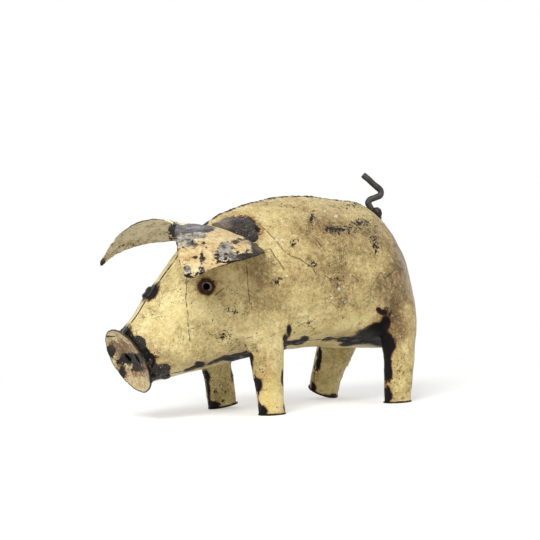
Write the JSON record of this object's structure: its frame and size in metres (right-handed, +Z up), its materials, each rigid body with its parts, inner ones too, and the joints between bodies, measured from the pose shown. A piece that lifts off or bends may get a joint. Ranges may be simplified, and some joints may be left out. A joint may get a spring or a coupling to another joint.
{
  "type": "pig figurine",
  "caption": "Standing pig ornament welded from hammered drum sheet, with domed leaf ears, a flat disc snout, ringed eyes and a bent rod tail.",
  "frame": {"origin": "on the floor under the middle of the overall box", "axes": "+X from snout to rump, +Y to the pig's right, +Z up"},
  "size_m": [0.3604, 0.2026, 0.2412],
  "materials": {
    "aged_paint": "old cream paint on hammered steel sheet, satin, scratched and smudged brown",
    "scorched_paint": "cream paint burnt back to grey steel near the welds",
    "weld_metal": "rough black weld metal with brown edges",
    "burnt_steel": "steel burnt dark, matt",
    "blackened_rod": "blackened rod with rubbed grey edges"
  },
  "bodies": {
    "root": {"belly_strip": "aged_paint", "forehead_strip": "aged_paint", "front_left_leg_inner": "aged_paint", "front_left_leg_weld": "weld_metal", "front_left_sole": "burnt_steel", "front_right_leg_inner": "aged_paint", "front_right_leg_weld": "weld_metal", "front_right_sole": "burnt_steel", "hind_left_leg_inner": "aged_paint", "hind_left_leg_weld": "weld_metal", "hind_left_sole": "burnt_steel", "hind_right_leg_inner": "aged_paint", "hind_right_leg_weld": "weld_metal", "hind_right_sole": "burnt_steel", "left_belly_weld": "weld_metal", "left_ear": "scorched_paint", "left_ear_weld": "weld_metal", "left_eye_ring": "burnt_steel", "left_forehead_weld": "weld_metal", "left_jaw_weld": "weld_metal", "left_side_panel": "aged_paint", "right_belly_weld": "weld_metal", "right_ear": "scorched_paint", "right_ear_weld": "weld_metal", "right_eye_ring": "burnt_steel", "right_forehead_weld": "weld_metal", "right_jaw_weld": "weld_metal", "right_side_panel": "aged_paint", "snout_disc": "scorched_paint", "snout_weld": "weld_metal", "spine_weld": "weld_metal", "tail_rod": "blackened_rod", "tail_weld": "weld_metal"}
  },
  "joints": []
}
